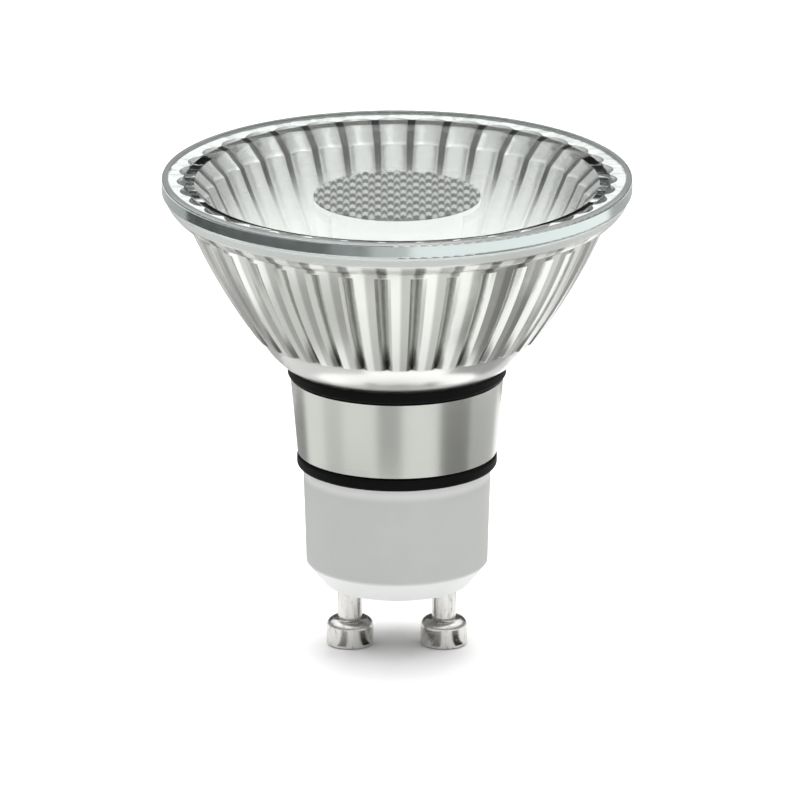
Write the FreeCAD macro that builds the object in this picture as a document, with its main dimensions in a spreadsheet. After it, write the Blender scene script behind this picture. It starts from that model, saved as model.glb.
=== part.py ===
import FreeCAD, Part
import math
import os
import Sketcher

os.makedirs("parts", exist_ok=True)
doc = FreeCAD.newDocument("Spotlight")
sheet = doc.addObject("Spreadsheet::Sheet", "Sizes")


class Size:
    # a length with its value now and the formula that keeps it tied to the sheet
    def __init__(self, value, text):
        self.value = float(value)
        self.text = text

    def __add__(self, other):
        other = as_size(other)
        return Size(self.value + other.value, "(%s + %s)" % (self.text, other.text))

    def __sub__(self, other):
        other = as_size(other)
        return Size(self.value - other.value, "(%s - %s)" % (self.text, other.text))

    def __mul__(self, other):
        other = as_size(other)
        return Size(self.value * other.value, "(%s * %s)" % (self.text, other.text))

    def __truediv__(self, other):
        other = as_size(other)
        return Size(self.value / other.value, "(%s / %s)" % (self.text, other.text))

    def __neg__(self):
        return Size(-self.value, "(0 - %s)" % self.text)

    def root(self):
        return Size(math.sqrt(self.value), "sqrt(%s)" % self.text)


def as_size(number):
    if isinstance(number, Size):
        return number
    return Size(number, "%g" % number)


class Sizes:
    pass


# driving sizes, in millimetres, with counts and one angle in degrees
sizes = {
    # contact pins of the twist-lock base
    "pin_pitch": 10.0,
    "pin_surround": 5.0,
    "pin_head_radius": 2.5,
    "pin_head_height": 3.0,
    "pin_head_bevel": 0.2,
    "pin_head_round": 0.9,
    "pin_neck_radius": 1.3,
    "pin_length": 7.2,
    "pin_flange_width": 0.6,
    "pin_flange_height": 0.6,
    "pin_tang_radius": 1.1,
    "pin_rivet_width": 0.6,
    "pin_rivet_height": 0.6,
    "pin_hole_gap": 0.05,
    # insulating base
    "base_height": 13.0,
    "base_floor": 1.8,
    "base_wall": 1.2,
    "base_taper": 0.35,
    "base_bevel_width": 1.85,
    "base_bevel_height": 2.3,
    "sleeve_step": 0.7,
    "sleeve_end_gap": 1.0,
    "rail_reach": 1.9,
    "rail_root": 0.3,
    "rail_width": 1.0,
    "rail_share": 0.6,
    # gaskets, and the heat-sink collar between them
    "gasket_height": 1.3,
    "gasket_round": 0.35,
    "gasket_stand": 0.05,
    "collar_height": 8.7,
    "collar_step": 0.6,
    "collar_flare": 0.75,
    "collar_edge": 0.2,
    "collar_roof": 1.7,
    "sleeve_gap": 0.1,
    "pedestal_step": 0.3,
    "pedestal_wall": 2.9,
    "pedestal_height": 4.8,
    "pedestal_roof": 1.6,
    "neck_gap": 0.2,
    # fluted reflector cup
    "cup_neck_step": 0.35,
    "shoulder_width": 3.0,
    "shoulder_height": 3.5,
    "shoulder_curve": 7.0,
    "foot_step": 0.5,
    "wall_height": 12.8,
    "wall_curve": 62.0,
    "wall_thickness": 1.1,
    "flange_reach": 2.3,
    "flange_margin": 2.0,
    "flange_curve": 3.6,
    "flange_height": 2.5,
    "flange_edge": 0.25,
    "neck_depth": 2.4,
    "floor_slope": 0.4,
    "floor_corner": 0.9,
    "flute_count": 36,
    "flute_depth": 1.1,
    "flute_overcut": 0.25,
    "flute_end": 0.5,
    "flute_spread": 0.9,
    "flute_round": 2.0,
    "scoop_depth": 0.55,
    "scoop_overcut": 0.25,
    "scoop_foot": 0.5,
    "scoop_spread": 0.88,
    "rim_scoop_depth": 0.7,
    "rim_scoop_foot": 1.2,
    "rim_scoop_spread": 0.94,
    "valley_angle": 6.0,
    # clear front lens, stepped to sit in the rim of the cup
    "lens_radius": 25.0,
    "lens_thickness": 1.7,
    "lens_overhang": 0.3,
    "lens_edge": 0.3,
    "lens_step": 0.9,
    "lens_gap": 0.2,
    # collimator over the emitters, with small pyramids across its top
    "optic_radius": 8.85,
    "optic_gap": 1.2,
    "optic_flange_width": 1.75,
    "optic_flange_height": 1.0,
    "optic_curve": 40.0,
    "optic_wall": 0.9,
    "cavity_room": 0.45,
    "cavity_height": 2.4,
    "cavity_curve": 5.0,
    "facet_count": 19,
    "facet_margin": 0.3,
    "facet_depth": 0.4,
    "facet_overcut": 0.1,
    "facet_angle": 45.0,
    # light engine on the pedestal
    "led_board_margin": 0.5,
    "led_board_thickness": 1.2,
    "led_count": 6,
    "led_turn": 30.0,
    "led_ring_radius": 2.9,
    "led_side": 1.9,
    "led_height": 0.55,
    "phosphor_radius": 0.75,
    "phosphor_height": 0.15,
    "screw_margin": 1.9,
    "screw_head_radius": 1.3,
    "screw_head_height": 0.8,
    "screw_head_round": 0.4,
    "screw_shank_radius": 0.7,
    "screw_length": 4.0,
    "screw_gap": 0.06,
    "slot_width": 0.35,
    "slot_depth": 0.35,
    # driver board and what it carries
    "driver_margin": 1.3,
    "driver_thickness": 1.2,
    "driver_corner_width": 0.4,
    "driver_corner_height": 1.2,
    "driver_gap": 0.1,
    "part_level": 2.2,
    "capacitor_radius": 3.9,
    "capacitor_height": 8.0,
    "capacitor_gap": 0.4,
    "capacitor_waist": 1.4,
    "capacitor_groove": 0.35,
    "capacitor_round": 0.4,
    "leg_side": 0.5,
    "leg_length": 3.0,
    "leg_pitch": 3.6,
    "choke_radius": 2.3,
    "choke_flange": 0.7,
    "choke_height": 3.6,
    "choke_core_radius": 1.1,
    "winding_radius": 1.95,
    "winding_gap": 0.05,
    "winding_turns": 5,
    "winding_swell": 0.6,
    "bridge_width": 4.0,
    "bridge_depth": 2.4,
    "bridge_height": 3.9,
    "chip_width": 4.9,
    "chip_depth": 1.5,
    "chip_height": 3.2,
    "chip_gap": 0.6,
    "film_width": 5.6,
    "film_depth": 3.0,
    "film_height": 5.6,
    "film_bevel": 0.3,
    "lead_radius": 0.45,
    "lead_margin": 0.8,
    "lead_gap": 0.1,
    "lead_way_gap": 0.3,
    "lead_stand": 0.4,
}

s = Sizes()
for number, (name, value) in enumerate(sizes.items(), 1):
    sheet.set("A%d" % number, name)
    sheet.set("B%d" % number, str(value))
    sheet.setAlias("B%d" % number, name)
    setattr(s, name, Size(value, "Sizes." + name))


def derive(name, formula):
    # a size that follows from others, kept as a formula in the same sheet
    number = len(vars(s)) + 1
    sheet.set("A%d" % number, name)
    sheet.set("B%d" % number, "=" + formula.text.replace("Sizes.", ""))
    sheet.setAlias("B%d" % number, name)
    setattr(s, name, Size(formula.value, "Sizes." + name))


# widths, from the pins outwards and from the lens inwards
derive("base_radius", s.pin_pitch / 2 + s.pin_surround)
derive("base_lower_radius", s.base_radius - s.base_taper)
derive("base_foot_radius", s.base_lower_radius - s.base_bevel_width)
derive("sleeve_radius", s.base_radius - s.sleeve_step)
derive("base_bore", s.sleeve_radius - s.base_wall)
derive("pin_hole_radius", s.pin_tang_radius + s.pin_hole_gap)
derive("collar_lower_radius", s.base_radius + s.collar_step)
derive("collar_upper_radius", s.collar_lower_radius + s.collar_flare)
derive("pedestal_radius", s.sleeve_radius + s.pedestal_step)
derive("pedestal_hollow", s.pedestal_radius - s.pedestal_wall)
derive("cup_neck_radius", s.collar_upper_radius + s.cup_neck_step)
derive("shoulder_radius", s.cup_neck_radius + s.shoulder_width)
derive("flange_radius", s.lens_radius - s.lens_overhang)
derive("rim_opening", s.flange_radius - s.flange_margin)
derive("wall_top_radius", s.flange_radius - s.flange_reach)
derive("led_board_radius", s.pedestal_radius - s.led_board_margin)
derive("screw_ring_radius", s.pedestal_radius - s.screw_margin)
derive("lead_across", s.pedestal_hollow - s.lead_margin)
derive("driver_half", s.base_bore - s.driver_margin)
derive("cavity_radius", s.led_ring_radius + s.led_side / 2 + s.cavity_room)
derive("optic_foot_radius", s.cavity_radius + s.optic_wall)
derive("facet_reach", s.optic_radius - s.facet_margin)
derive("facet_pitch", s.facet_reach * 2 / (s.facet_count - 1))

# levels up the axis, from the ends of the pins
derive("base_inside", s.pin_length + s.base_floor)
derive("base_top", s.pin_length + s.base_height)
derive("collar_bottom", s.base_top + s.gasket_height)
derive("collar_top", s.collar_bottom + s.collar_height)
derive("bore_top", s.collar_top - s.collar_roof)
derive("sleeve_top", s.bore_top - s.sleeve_end_gap)
derive("cup_bottom", s.collar_top + s.gasket_height)
derive("pedestal_top", s.collar_top + s.pedestal_height)
derive("hollow_top", s.pedestal_top - s.pedestal_roof)
derive("wall_foot", s.cup_bottom + s.shoulder_height)
derive("wall_top", s.wall_foot + s.wall_height)
derive("rim_top", s.wall_top + s.flange_height)
derive("lens_top", s.rim_top + s.lens_thickness)
derive("optic_top", s.rim_top - s.lens_step - s.optic_gap)
derive("led_board_top", s.pedestal_top + s.led_board_thickness)
derive("driver_bottom", s.base_inside + s.pin_rivet_height)
derive("driver_top", s.hollow_top - s.capacitor_gap - s.capacitor_height)

# the curve of the cup's wall: an arc between its foot and its top
derive("wall_foot_radius", s.shoulder_radius + s.foot_step)
derive("wall_run", s.wall_top_radius - s.wall_foot_radius)
derive("wall_chord", (s.wall_run * s.wall_run + s.wall_height * s.wall_height).root())
derive("wall_offset", (s.wall_curve * s.wall_curve - s.wall_chord * s.wall_chord / 4).root())
derive("wall_hub_radius",
       (s.wall_foot_radius + s.wall_top_radius) / 2 - s.wall_offset * s.wall_height / s.wall_chord)
derive("wall_hub_level",
       (s.wall_foot + s.wall_top) / 2 + s.wall_offset * s.wall_run / s.wall_chord)
derive("wall_step", s.flute_depth + s.wall_thickness)
derive("inner_curve", s.wall_curve - s.wall_step)


def wall_radius(level, curve):
    # radius of the wall's arc at a level, for the outer or the inner curve
    rise = level - s.wall_hub_level
    return s.wall_hub_radius + (curve * curve - rise * rise).root()


derive("inner_top_radius", wall_radius(s.wall_top, s.inner_curve))
derive("rim_slope", (s.rim_opening - s.inner_top_radius) / s.flange_height)
doc.recompute()

half_pitch = Size(math.tan(math.pi / s.flute_count.value), "tan(180deg / Sizes.flute_count)")


def bind(item, name, length):
    item.setExpression(name, length.text)


def origin_item(body, role):
    return [item for item in body.Origin.OriginFeatures if item.Role == role][0]


def new_body(label):
    body = doc.addObject("PartDesign::Body", label)
    body.Label = label
    return body


def new_sketch(body, name, plane, level=None, turn=None):
    sketch = body.newObject("Sketcher::SketchObject", name)
    sketch.AttachmentSupport = [(origin_item(body, plane), "")]
    sketch.MapMode = "FlatFace"
    if turn is not None:
        spin = FreeCAD.Rotation(FreeCAD.Vector(0, 0, 1), turn.value)
        sketch.AttachmentOffset = FreeCAD.Placement(FreeCAD.Vector(0, 0, 0), spin)
        bind(sketch, "AttachmentOffset.Rotation.Angle", turn)
    if level is not None:
        bind(sketch, "AttachmentOffset.Base.z", level)
    return sketch


def fix_point(sketch, edge, end, place):
    # holds one end of an edge at its place, each way tied to its formula
    for kind, axis, length in (("DistanceX", -2, place[0]), ("DistanceY", -1, place[1])):
        if as_size(length).value == 0:
            sketch.addConstraint(Sketcher.Constraint("PointOnObject", edge, end, axis))
        else:
            rule = Sketcher.Constraint(kind, -1, 1, edge, end, length.value)
            number = sketch.addConstraint(rule)
            sketch.setExpression("Constraints[%d]" % number, length.text)


def bulge(start, end, radius, side):
    # a point on the arc between two corners, on the side it swells to
    chord = end - start
    across = FreeCAD.Vector(chord.y, -chord.x, 0)
    across.normalize()
    rise = radius - math.sqrt(radius ** 2 - chord.Length ** 2 / 4)
    if side == "left":
        rise = -rise
    return (start + end) * 0.5 + across * rise


def add_loop(sketch, corners):
    # a closed outline; a corner is (x, y), or (x, y, radius, side) where an arc leads to it
    first = sketch.GeometryCount
    places = [FreeCAD.Vector(as_size(c[0]).value, as_size(c[1]).value, 0) for c in corners]
    ends = []
    for index, corner in enumerate(corners):
        start = places[index - 1]
        end = places[index]
        if len(corner) == 2:
            sketch.addGeometry(Part.LineSegment(start, end))
            ends.append((1, 2))
        else:
            middle = bulge(start, end, corner[2].value, corner[3])
            edge = sketch.addGeometry(Part.Arc(start, middle, end))
            begins = sketch.getPoint(edge, 1).distanceToPoint(start)
            stops = sketch.getPoint(edge, 1).distanceToPoint(end)
            ends.append((1, 2) if begins < stops else (2, 1))
    for index in range(len(corners)):
        after = (index + 1) % len(corners)
        rule = ("Coincident", first + index, ends[index][1], first + after, ends[after][0])
        sketch.addConstraint(Sketcher.Constraint(*rule))
    for index, corner in enumerate(corners):
        fix_point(sketch, first + index, ends[index][1], corner)
        if len(corner) > 2:
            rule = Sketcher.Constraint("Radius", first + index, corner[2].value)
            number = sketch.addConstraint(rule)
            sketch.setExpression("Constraints[%d]" % number, corner[2].text)


def add_circle(sketch, x, y, radius):
    middle = FreeCAD.Vector(as_size(x).value, as_size(y).value, 0)
    circle = Part.Circle(middle, FreeCAD.Vector(0, 0, 1), radius.value)
    edge = sketch.addGeometry(circle)
    fix_point(sketch, edge, 3, (x, y))
    number = sketch.addConstraint(Sketcher.Constraint("Radius", edge, radius.value))
    sketch.setExpression("Constraints[%d]" % number, radius.text)


def box_corners(left, right, low, high):
    return [(left, low), (right, low), (right, high), (left, high)]


def revolve(body, name, corners):
    sketch = new_sketch(body, name + "_outline", "XZ_Plane")
    add_loop(sketch, corners)
    feature = body.newObject("PartDesign::Revolution", name)
    feature.Profile = sketch
    feature.ReferenceAxis = (sketch, ["V_Axis"])
    feature.Angle = 360.0
    doc.recompute()
    return feature


def pad(body, name, sketch, length, middle=False):
    feature = body.newObject("PartDesign::Pad", name)
    feature.Profile = sketch
    feature.Midplane = middle
    bind(feature, "Length", length)
    doc.recompute()
    return feature


def cut_through(body, name, sketch, middle=False, upward=False):
    # removes what the outline covers, all the way through, and makes sure that it did
    before = body.Shape.Volume
    feature = body.newObject("PartDesign::Pocket", name)
    feature.Profile = sketch
    feature.Type = "ThroughAll"
    feature.Midplane = middle
    feature.Reversed = upward
    doc.recompute()
    if not body.Shape.Volume < before - 1e-4:
        raise RuntimeError(name + " removes nothing")
    return feature


def move(item, x=None, y=None, z=None):
    for name, length in (("x", x), ("y", y), ("z", z)):
        if length is not None:
            bind(item, "Placement.Base." + name, length)


def rounded_ring(label, inner, outer, low, high, curve):
    body = new_body(label)
    revolve(body, label + "_ring", [
        (inner, low),
        (outer - curve, low),
        (outer, low + curve, curve, "right"),
        (outer, high - curve),
        (outer - curve, high, curve, "right"),
        (inner, high),
    ])
    return body


# contact pins: a flat head, a waisted neck, and a tang riveted over inside the base
def make_pin(label, across):
    body = new_body(label)
    neck_foot = s.pin_head_height
    flange = s.pin_length - s.pin_flange_height
    flange_radius = s.pin_neck_radius + s.pin_flange_width
    rivet_radius = s.pin_tang_radius + s.pin_rivet_width
    rivet_top = s.base_inside + s.pin_rivet_height
    revolve(body, label + "_turned", [
        (0, 0),
        (s.pin_head_radius - s.pin_head_bevel, 0),
        (s.pin_head_radius, s.pin_head_bevel),
        (s.pin_head_radius, neck_foot - s.pin_head_round),
        (s.pin_head_radius - s.pin_head_round, neck_foot, s.pin_head_round, "right"),
        (s.pin_neck_radius, neck_foot),
        (s.pin_neck_radius, flange - s.pin_flange_height),
        (flange_radius, flange),
        (flange_radius, s.pin_length),
        (s.pin_tang_radius, s.pin_length),
        (s.pin_tang_radius, s.base_inside),
        (rivet_radius, s.base_inside),
        (rivet_radius, rivet_top),
        (0, rivet_top),
    ])
    move(body, x=across)
    return body


contact_pin_left = make_pin("contact_pin_left", -(s.pin_pitch / 2))
contact_pin_right = make_pin("contact_pin_right", s.pin_pitch / 2)


# insulating base: bevelled foot, plain side, and a sleeve that the collar slides over
def make_base():
    body = new_body("base_shell")
    bevel_top = s.pin_length + s.base_bevel_height
    revolve(body, "base_turned", [
        (0, s.pin_length),
        (s.base_foot_radius, s.pin_length),
        (s.base_lower_radius, bevel_top),
        (s.base_radius, s.base_top),
        (s.sleeve_radius, s.base_top),
        (s.sleeve_radius, s.sleeve_top),
        (s.base_bore, s.sleeve_top),
        (s.base_bore, s.base_inside + s.base_wall),
        (s.base_bore - s.base_wall, s.base_inside),
        (0, s.base_inside),
    ])
    rails = new_sketch(body, "rail_outline", "XY_Plane", s.driver_bottom + s.driver_gap)
    inside = s.base_bore - s.rail_reach
    outside = s.base_bore + s.rail_root
    near = s.driver_thickness / 2 + s.driver_gap
    far = near + s.rail_width
    add_loop(rails, box_corners(inside, outside, near, far))
    add_loop(rails, box_corners(inside, outside, -far, -near))
    add_loop(rails, box_corners(-outside, -inside, near, far))
    add_loop(rails, box_corners(-outside, -inside, -far, -near))
    pad(body, "rails", rails, s.base_height * s.rail_share)
    holes = new_sketch(body, "pin_hole_outline", "XY_Plane")
    add_circle(holes, s.pin_pitch / 2, 0, s.pin_hole_radius)
    add_circle(holes, -(s.pin_pitch / 2), 0, s.pin_hole_radius)
    cut_through(body, "pin_holes", holes, upward=True)
    return body


base_shell = make_base()

lower_gasket = rounded_ring("lower_gasket", s.sleeve_radius + s.sleeve_gap,
                            s.collar_lower_radius + s.gasket_stand,
                            s.base_top, s.collar_bottom, s.gasket_round)
upper_gasket = rounded_ring("upper_gasket", s.pedestal_radius + s.sleeve_gap,
                            s.cup_neck_radius - s.gasket_stand,
                            s.collar_top, s.cup_bottom, s.gasket_round)


# heat-sink collar: the metal band that shows, and the hollow pedestal inside the cup's neck
def make_collar():
    body = new_body("heat_sink_collar")
    bore = s.sleeve_radius + s.sleeve_gap
    revolve(body, "collar_turned", [
        (bore, s.collar_bottom),
        (s.collar_lower_radius - s.collar_edge, s.collar_bottom),
        (s.collar_lower_radius, s.collar_bottom + s.collar_edge),
        (s.collar_upper_radius, s.collar_top - s.collar_edge),
        (s.collar_upper_radius - s.collar_edge, s.collar_top),
        (s.pedestal_radius, s.collar_top),
        (s.pedestal_radius, s.pedestal_top - s.collar_edge),
        (s.pedestal_radius - s.collar_edge, s.pedestal_top),
        (0, s.pedestal_top),
        (0, s.hollow_top),
        (s.pedestal_hollow, s.hollow_top),
        (s.pedestal_hollow, s.bore_top),
        (bore, s.bore_top),
    ])
    tapped = new_sketch(body, "tapped_outline", "XY_Plane", s.pedestal_top - s.screw_length)
    add_circle(tapped, 0, s.screw_ring_radius, s.screw_shank_radius + s.screw_gap)
    add_circle(tapped, 0, -s.screw_ring_radius, s.screw_shank_radius + s.screw_gap)
    cut_through(body, "tapped_holes", tapped, upward=True)
    ways = new_sketch(body, "lead_way_outline", "XY_Plane", s.collar_bottom)
    add_circle(ways, s.lead_across, 0, s.lead_radius + s.lead_way_gap)
    add_circle(ways, -s.lead_across, 0, s.lead_radius + s.lead_way_gap)
    cut_through(body, "lead_ways", ways, upward=True)
    return body


heat_sink_collar = make_collar()


def loft_cut(body, name, sections):
    before = body.Shape.Volume
    feature = body.newObject("PartDesign::SubtractiveLoft", name)
    feature.Profile = sections[0]
    feature.Sections = sections[1:]
    doc.recompute()
    if not body.Shape.Volume < before - 1e-4:
        raise RuntimeError(name + " removes nothing")
    return feature


def around(body, name, features, count):
    pattern = body.newObject("PartDesign::PolarPattern", name)
    pattern.Originals = features
    pattern.Axis = (origin_item(body, "Z_Axis"), [""])
    pattern.Angle = 360.0
    bind(pattern, "Occurrences", count)
    body.Tip = pattern
    doc.recompute()
    return pattern


# reflector cup: a curved bowl whose wall is pressed into flutes, outside and inside
def make_cup():
    body = new_body("reflector_cup")
    neck_bore = s.pedestal_radius + s.neck_gap
    floor = s.cup_bottom + s.neck_depth
    corner_level = floor + s.floor_slope
    inner_foot = corner_level + s.floor_corner
    inner_foot_radius = wall_radius(inner_foot, s.inner_curve)
    revolve(body, "cup_turned", [
        (neck_bore, s.cup_bottom),
        (s.cup_neck_radius, s.cup_bottom),
        (s.shoulder_radius, s.wall_foot, s.shoulder_curve, "right"),
        (s.wall_foot_radius, s.wall_foot),
        (s.wall_top_radius, s.wall_top, s.wall_curve, "right"),
        (s.flange_radius, s.rim_top - s.flange_edge, s.flange_curve, "right"),
        (s.flange_radius - s.flange_edge, s.rim_top),
        (s.rim_opening, s.rim_top),
        (s.inner_top_radius, s.wall_top),
        (inner_foot_radius, inner_foot, s.inner_curve, "left"),
        (inner_foot_radius - s.floor_corner, corner_level),
        (neck_bore, floor),
    ])
    outer = []
    for index, share in enumerate((0.0, 0.5, 1.0)):
        level = s.wall_foot + (s.wall_height - s.flute_end) * share
        crest = wall_radius(level, s.wall_curve)
        scale = crest / s.wall_top_radius
        reach = crest + s.flute_overcut * scale
        half = crest * half_pitch * s.flute_spread
        curve = s.flute_round * scale
        sketch = new_sketch(body, "flute_section_%d" % index, "XY_Plane", level)
        add_loop(sketch, [
            (crest - s.flute_depth * scale, 0, curve, "left"),
            (reach, -half, curve, "left"),
            (reach, half),
        ])
        outer.append(sketch)
    flute = loft_cut(body, "flute", outer)
    around(body, "flutes", [flute], s.flute_count)
    half_turn = Size(180.0 / s.flute_count.value, "(180deg / Sizes.flute_count)")

    def scoop_section(name, level, ridge, depth, spread):
        # the outline of a shallow hollow that leaves a ridge on each side of it
        half = ridge * half_pitch * spread
        rise = depth + s.scoop_overcut
        curve = (half * half + rise * rise) / (rise * 2)
        sketch = new_sketch(body, name, "XY_Plane", level, half_turn)
        add_loop(sketch, [
            (ridge - s.scoop_overcut, -half),
            (ridge - s.scoop_overcut, half, curve, "right"),
        ])
        return sketch

    inner = []
    scoop_foot = inner_foot + s.scoop_foot
    for index, share in enumerate((0.0, 0.5, 1.0)):
        level = scoop_foot + (s.wall_top + s.floor_corner - inner_foot) * share
        ridge = wall_radius(level, s.inner_curve)
        name = "scoop_section_%d" % index
        inner.append(scoop_section(name, level, ridge, s.scoop_depth, s.scoop_spread))
    scoop = loft_cut(body, "scoop", inner)
    rim = []
    for name, rise in (("rim_foot", -s.rim_scoop_foot), ("rim_head", s.flange_height + s.scoop_overcut)):
        ridge = s.inner_top_radius + rise * s.rim_slope
        level = s.wall_top + rise
        rim.append(scoop_section(name, level, ridge, s.rim_scoop_depth, s.rim_scoop_spread))
    rim_scoop = loft_cut(body, "rim_scoop", rim)
    around(body, "scoops", [scoop, rim_scoop], s.flute_count)
    spin = FreeCAD.Rotation(FreeCAD.Vector(0, 0, 1), s.valley_angle.value)
    body.Placement = FreeCAD.Placement(FreeCAD.Vector(0, 0, 0), spin)
    bind(body, "Placement.Rotation.Angle", s.valley_angle)
    return body


reflector_cup = make_cup()


def row_of(body, name, feature, along, length, count):
    pattern = body.newObject("PartDesign::LinearPattern", name)
    pattern.Originals = [feature]
    pattern.Direction = (origin_item(body, along), [""])
    bind(pattern, "Length", length)
    bind(pattern, "Occurrences", count)
    body.Tip = pattern
    doc.recompute()
    return pattern


# clear front lens: a plate that rests on the flange, thicker where it drops into the opening
def make_lens():
    body = new_body("front_lens")
    opening = s.rim_opening - s.lens_gap
    step_foot = s.rim_top - s.lens_step
    revolve(body, "lens_turned", [
        (0, step_foot),
        (opening - s.lens_step * s.rim_slope, step_foot),
        (opening, s.rim_top),
        (s.lens_radius - s.lens_edge, s.rim_top),
        (s.lens_radius, s.rim_top + s.lens_edge, s.lens_edge, "right"),
        (s.lens_radius, s.lens_top - s.lens_edge),
        (s.lens_radius - s.lens_edge, s.lens_top, s.lens_edge, "right"),
        (0, s.lens_top),
    ])
    return body


front_lens = make_lens()


# collimator: a bowl-shaped optic that stands round the emitters, hollow over them, with a
# flange and a top face that two crossing sets of grooves cut into small pyramids
def make_optic():
    body = new_body("collimator")
    flange_foot = s.optic_top - s.optic_flange_height
    revolve(body, "optic_turned", [
        (0, s.led_board_top + s.cavity_height),
        (s.cavity_radius, s.led_board_top + s.led_height + s.phosphor_height,
         s.cavity_curve, "left"),
        (s.cavity_radius, s.led_board_top),
        (s.optic_foot_radius, s.led_board_top),
        (s.optic_radius - s.optic_flange_width, flange_foot, s.optic_curve, "right"),
        (s.optic_radius, flange_foot),
        (s.optic_radius, s.optic_top),
        (0, s.optic_top),
    ])
    half = s.facet_pitch / 2 * (s.facet_depth + s.facet_overcut) / s.facet_depth
    for name, plane, along in (("across", "XZ_Plane", "X_Axis"), ("along", "YZ_Plane", "Y_Axis")):
        sketch = new_sketch(body, "facet_outline_" + name, plane)
        add_loop(sketch, [
            (-s.facet_reach - half, s.optic_top + s.facet_overcut),
            (-s.facet_reach, s.optic_top - s.facet_depth),
            (-s.facet_reach + half, s.optic_top + s.facet_overcut),
        ])
        groove = cut_through(body, "facet_" + name, sketch, middle=True)
        row_of(body, "facets_" + name, groove, along, s.facet_reach * 2, s.facet_count)
    spin = FreeCAD.Rotation(FreeCAD.Vector(0, 0, 1), s.facet_angle.value)
    body.Placement = FreeCAD.Placement(FreeCAD.Vector(0, 0, 0), spin)
    bind(body, "Placement.Rotation.Angle", s.facet_angle)
    return body


collimator = make_optic()


# light engine: a metal-cored disc screwed to the pedestal, with a ring of emitters
def make_led_board():
    body = new_body("led_board")
    plate = new_sketch(body, "led_board_outline", "XY_Plane", s.pedestal_top)
    add_circle(plate, 0, 0, s.led_board_radius)
    pad(body, "led_board_plate", plate, s.led_board_thickness)
    holes = new_sketch(body, "led_board_hole_outline", "XY_Plane")
    add_circle(holes, 0, s.screw_ring_radius, s.screw_shank_radius + s.screw_gap)
    add_circle(holes, 0, -s.screw_ring_radius, s.screw_shank_radius + s.screw_gap)
    add_circle(holes, s.lead_across, 0, s.lead_radius + s.lead_gap)
    add_circle(holes, -s.lead_across, 0, s.lead_radius + s.lead_gap)
    cut_through(body, "led_board_holes", holes, upward=True)
    return body


led_board = make_led_board()


def make_led(number):
    # a square package with its round phosphor standing a little proud
    label = "led_%d" % number
    body = new_body(label)
    half = s.led_side / 2
    package = new_sketch(body, label + "_outline", "XY_Plane")
    add_loop(package, box_corners(-half, half, -half, half))
    pad(body, label + "_package", package, s.led_height)
    phosphor = new_sketch(body, label + "_phosphor_outline", "XY_Plane", s.led_height)
    add_circle(phosphor, 0, 0, s.phosphor_radius)
    pad(body, label + "_phosphor", phosphor, s.phosphor_height)
    degrees = number * 360.0 / s.led_count.value - s.led_turn.value
    turn = Size(degrees, "((%d * 360 / Sizes.led_count - Sizes.led_turn) * 1deg)" % number)
    spin = FreeCAD.Rotation(FreeCAD.Vector(0, 0, 1), turn.value)
    body.Placement = FreeCAD.Placement(FreeCAD.Vector(0, 0, 0), spin)
    body.setExpression("Placement.Rotation.Angle", turn.text)
    body.setExpression("Placement.Base.x", "Sizes.led_ring_radius * cos(%s)" % turn.text)
    body.setExpression("Placement.Base.y", "Sizes.led_ring_radius * sin(%s)" % turn.text)
    move(body, z=s.led_board_top)
    return body


leds = [make_led(number) for number in range(1, int(s.led_count.value) + 1)]


# two slotted screws that hold the board down, kept together as one group
def make_screw(name, across):
    body = doc.addObject("PartDesign::Body", name)
    revolve(body, name + "_turned", [
        (0, -s.screw_length + s.led_board_thickness + s.screw_gap),
        (s.screw_shank_radius, -s.screw_length + s.led_board_thickness + s.screw_gap),
        (s.screw_shank_radius, 0),
        (s.screw_head_radius, 0),
        (s.screw_head_radius, s.screw_head_height - s.screw_head_round),
        (s.screw_head_radius - s.screw_head_round, s.screw_head_height,
         s.screw_head_round, "right"),
        (0, s.screw_head_height),
    ])
    slot = new_sketch(body, name + "_slot_outline", "XZ_Plane")
    half = s.slot_width / 2
    floor = s.screw_head_height - s.slot_depth
    add_loop(slot, box_corners(-half, half, floor, s.screw_head_height + s.slot_depth))
    cut_through(body, name + "_slot", slot, middle=True)
    move(body, y=across, z=s.led_board_top)
    return body


board_screws = doc.addObject("Part::Compound", "board_screws")
board_screws.Links = [make_screw("screw_front", -s.screw_ring_radius),
                      make_screw("screw_back", s.screw_ring_radius)]
doc.recompute()


# driver board: stands on the rivets of the pins, its edges between the base's rails
def make_driver_board():
    body = new_body("driver_board")
    half = s.driver_half
    sketch = new_sketch(body, "driver_outline", "XZ_Plane")
    add_loop(sketch, [
        (-half, s.driver_bottom),
        (half, s.driver_bottom),
        (half, s.driver_top - s.driver_corner_height),
        (half - s.driver_corner_width, s.driver_top),
        (-half + s.driver_corner_width, s.driver_top),
        (-half, s.driver_top - s.driver_corner_height),
    ])
    pad(body, "driver_plate", sketch, s.driver_thickness, middle=True)
    return body


driver_board = make_driver_board()


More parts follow.
